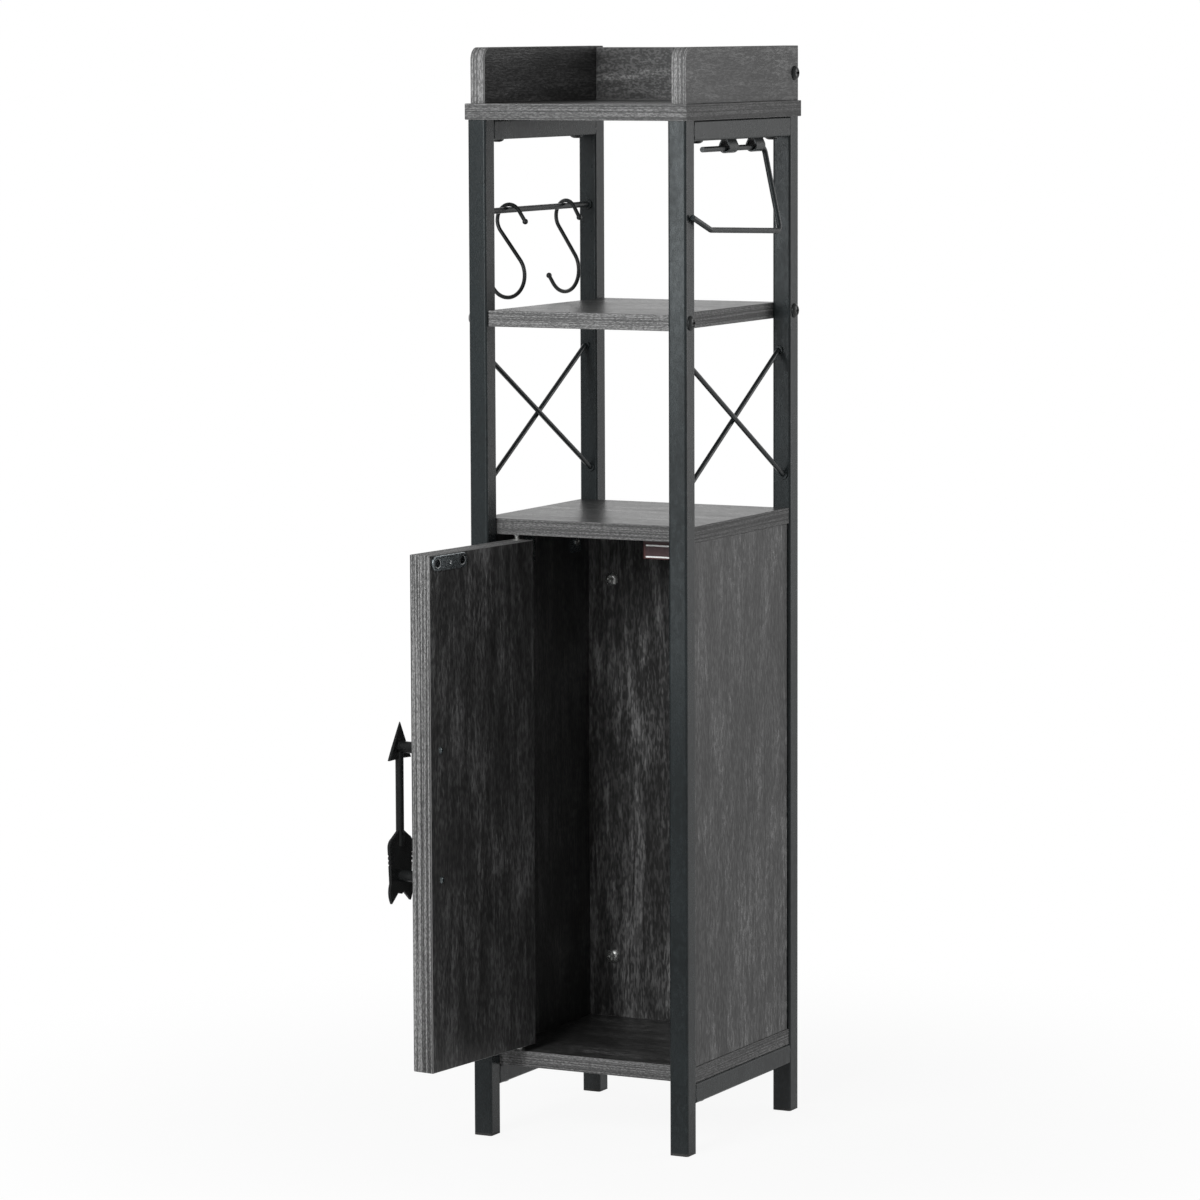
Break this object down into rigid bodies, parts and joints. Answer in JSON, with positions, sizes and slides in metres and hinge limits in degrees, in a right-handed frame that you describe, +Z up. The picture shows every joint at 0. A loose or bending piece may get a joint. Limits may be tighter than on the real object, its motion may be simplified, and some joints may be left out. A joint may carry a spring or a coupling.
{
  "type": "linen cabinet",
  "caption": "Tall narrow linen cabinet: square tube frame, open shelves, railed top tray, hinged cupboard door with arrow pull, side hook rod and swinging roll holder.",
  "frame": {"origin": "on the floor, midway between the four legs", "axes": "+X to the cabinet's right as seen from the front, -Y to the front, +Z up"},
  "size_m": [0.2687, 0.4065, 1.091],
  "materials": {
    "powder_coat": "matte black powder coat, fine texture",
    "hook_coat": "satin black coated wire",
    "black_bolts": "black coated bolt heads",
    "cast_pull": "matte black coated casting",
    "foot_plastic": "moulded black plastic",
    "catch_plastic": "brown moulded plastic",
    "bush_plastic": "white moulded plastic",
    "dowel_wood": "fluted beech",
    "magnet": "sintered ferrite, brown-black",
    "dark_zinc": "dull zinc plate",
    "zinc": "bright zinc plate",
    "charcoal_board": "charcoal wood-grain faced board, satin"
  },
  "bodies": {
    "frame": {"back_left_post": "powder_coat", "back_panel": "charcoal_board", "back_panel_bolts": "zinc", "back_panel_lugs": "powder_coat", "back_right_post": "powder_coat", "bottom_board": "charcoal_board", "bottom_board_screws": "black_bolts", "cabinet_top_board": "charcoal_board", "catch_body": "catch_plastic", "catch_magnet": "magnet", "catch_pole_plates": "zinc", "catch_screws": "zinc", "corner_bracket_screws": "zinc", "corner_brackets": "dark_zinc", "door_pivot_pins": "zinc", "foot_plugs": "foot_plastic", "front_left_post": "powder_coat", "front_right_post": "powder_coat", "hook_rod": "powder_coat", "left_bottom_rail": "powder_coat", "left_brace_falling": "powder_coat", "left_brace_rising": "powder_coat", "left_side_panel": "charcoal_board", "left_top_rail": "powder_coat", "middle_shelf": "charcoal_board", "right_bottom_rail": "powder_coat", "right_brace_falling": "powder_coat", "right_brace_rising": "powder_coat", "right_side_panel": "charcoal_board", "right_top_rail": "powder_coat", "roll_holder_strap_back": "powder_coat", "roll_holder_strap_front": "powder_coat", "shelf_bolts": "black_bolts", "top_board": "charcoal_board", "top_board_screws": "black_bolts", "tray_back_guard": "charcoal_board", "tray_bolts": "black_bolts", "tray_left_guard": "charcoal_board", "tray_right_guard": "charcoal_board", "wood_dowels": "dowel_wood"},
    "door": {"door_panel": "charcoal_board", "door_bushes": "bush_plastic", "door_pull": "cast_pull", "door_pull_screws": "dark_zinc", "strike_plate": "dark_zinc", "strike_plate_screws": "zinc"},
    "s_hook_front": {"s_hook_front": "hook_coat"},
    "s_hook_back": {"s_hook_back": "hook_coat"},
    "roll_holder": {"roll_holder": "powder_coat"}
  },
  "joints": [
    {"name": "door_hinge", "type": "hinge", "parent": "frame", "child": "door", "pos_m": [-0.082, -0.102, 0.347], "axis": [0, 0, 1], "range_deg": [-10, 96.4]},
    {"name": "s_hook_front_swing", "type": "hinge", "parent": "frame", "child": "s_hook_front", "pos_m": [-0.11, -0.0634, 0.929], "axis": [0, 1, 0], "range_deg": [-50, 50]},
    {"name": "s_hook_back_swing", "type": "hinge", "parent": "frame", "child": "s_hook_back", "pos_m": [-0.11, 0.0599, 0.929], "axis": [0, 1, 0], "range_deg": [-50, 50]},
    {"name": "roll_holder_swing", "type": "hinge", "parent": "frame", "child": "roll_holder", "pos_m": [0.11, 0, 0.991], "axis": [0, -1, 0], "range_deg": [0, 95]}
  ]
}
